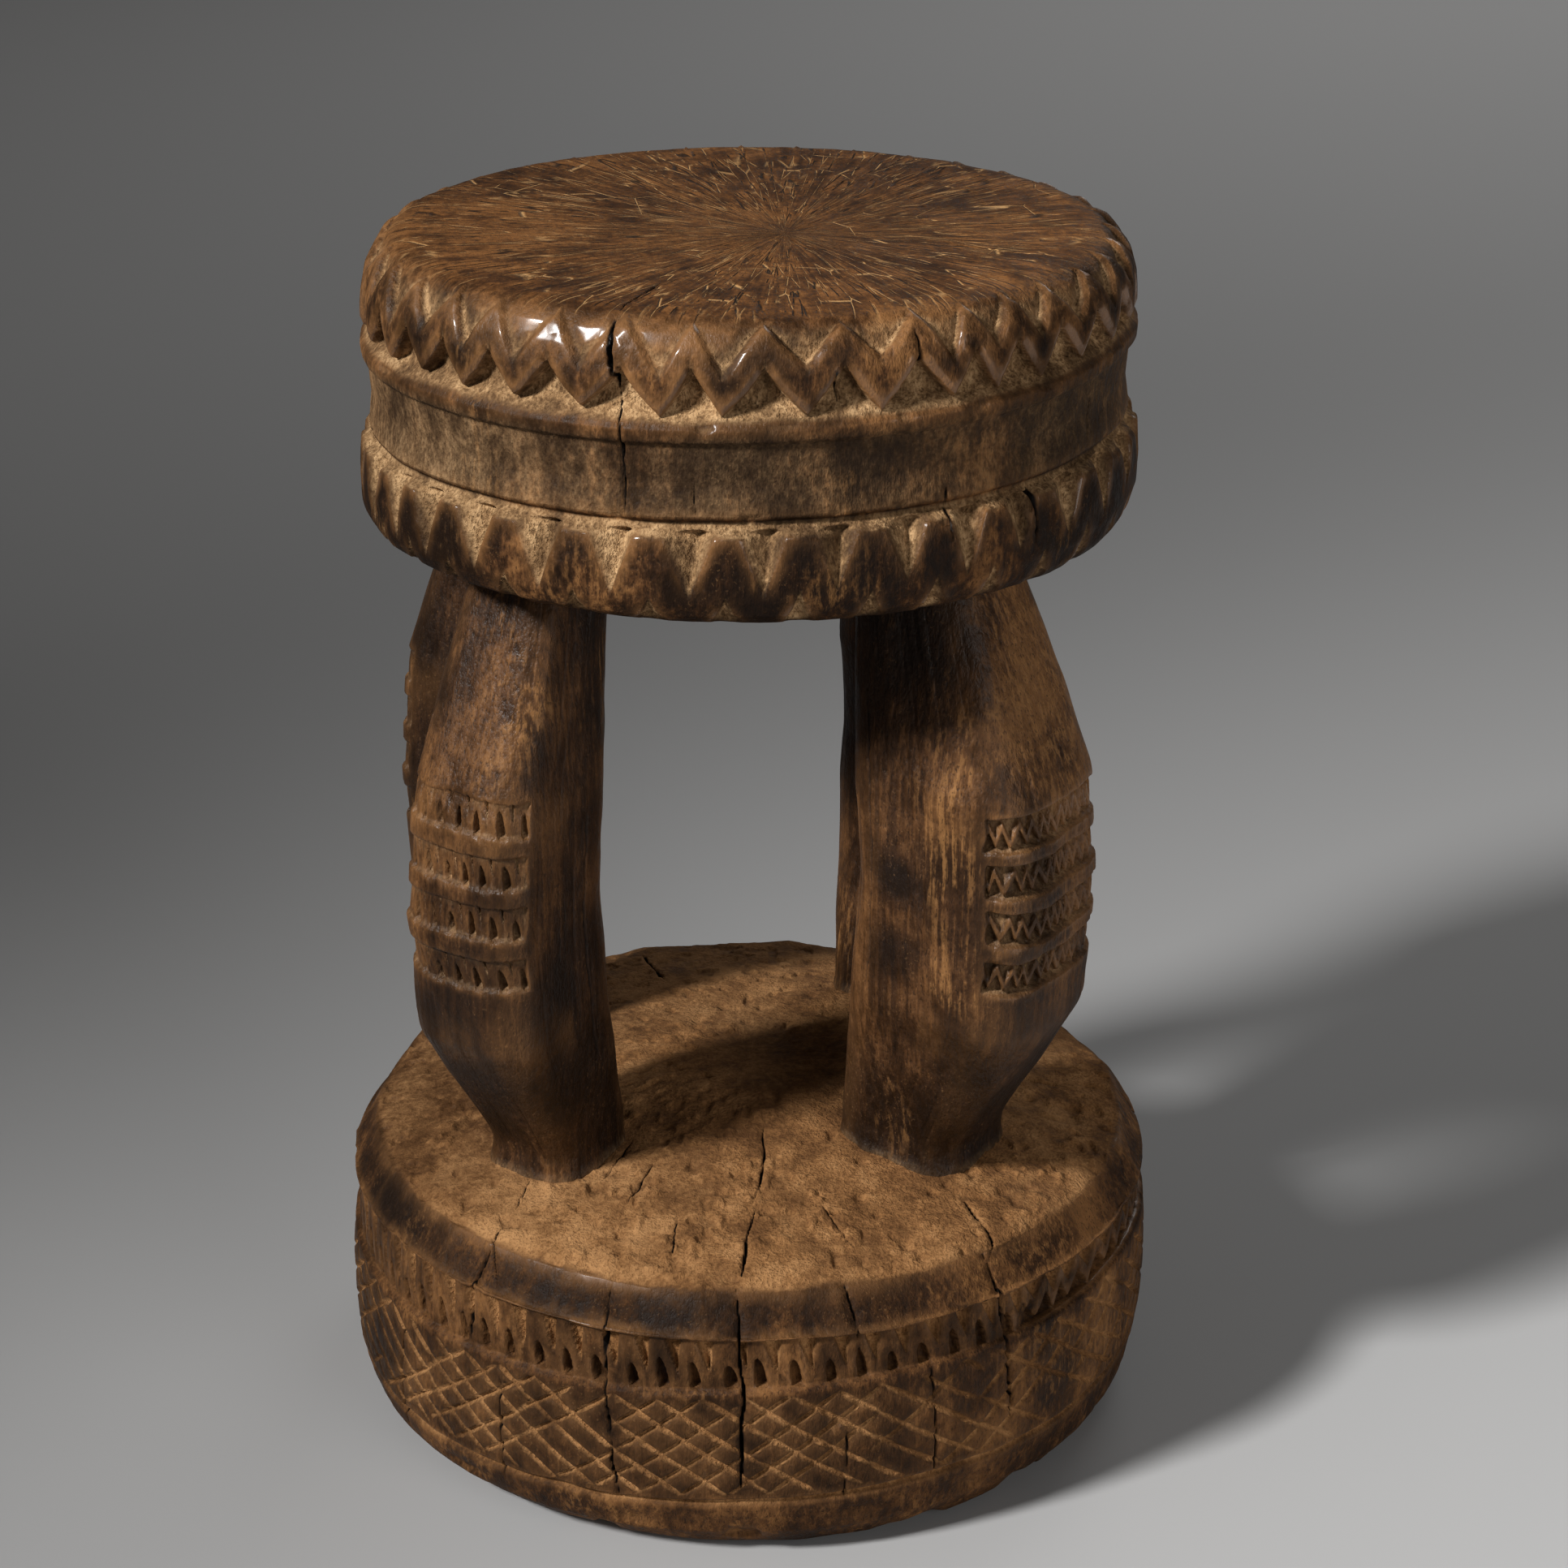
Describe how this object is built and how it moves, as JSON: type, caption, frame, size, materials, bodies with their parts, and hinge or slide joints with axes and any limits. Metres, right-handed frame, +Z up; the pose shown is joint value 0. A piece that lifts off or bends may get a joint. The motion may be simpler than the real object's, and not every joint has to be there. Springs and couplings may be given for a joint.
{
  "type": "carved wooden stool",
  "caption": "Low round stool of dark carved wood: a drum seat with zigzag bands, bowed legs with toothed panels, and a drum base with a cross-hatched side.",
  "frame": {"origin": "centre of the flat underside of the base, on the floor", "axes": "+Z up through the seat; -Y is the side seen in the picture, +X its right"},
  "size_m": [0.3, 0.3, 0.441],
  "materials": {
    "seat_wood": "dark, hand-polished by use, worn satin on the rim, dry dust in the cuts",
    "base_wood": "dry and dusty on top, dark and worn on the side, open drying checks",
    "leg_wood": "dark stained, handled to a low sheen, lighter where worn"
  },
  "bodies": {
    "root": {"seat": "seat_wood", "base": "base_wood", "leg_front_left": "leg_wood", "leg_front_right": "leg_wood", "leg_back_left": "leg_wood", "leg_back_right": "leg_wood"}
  },
  "joints": []
}
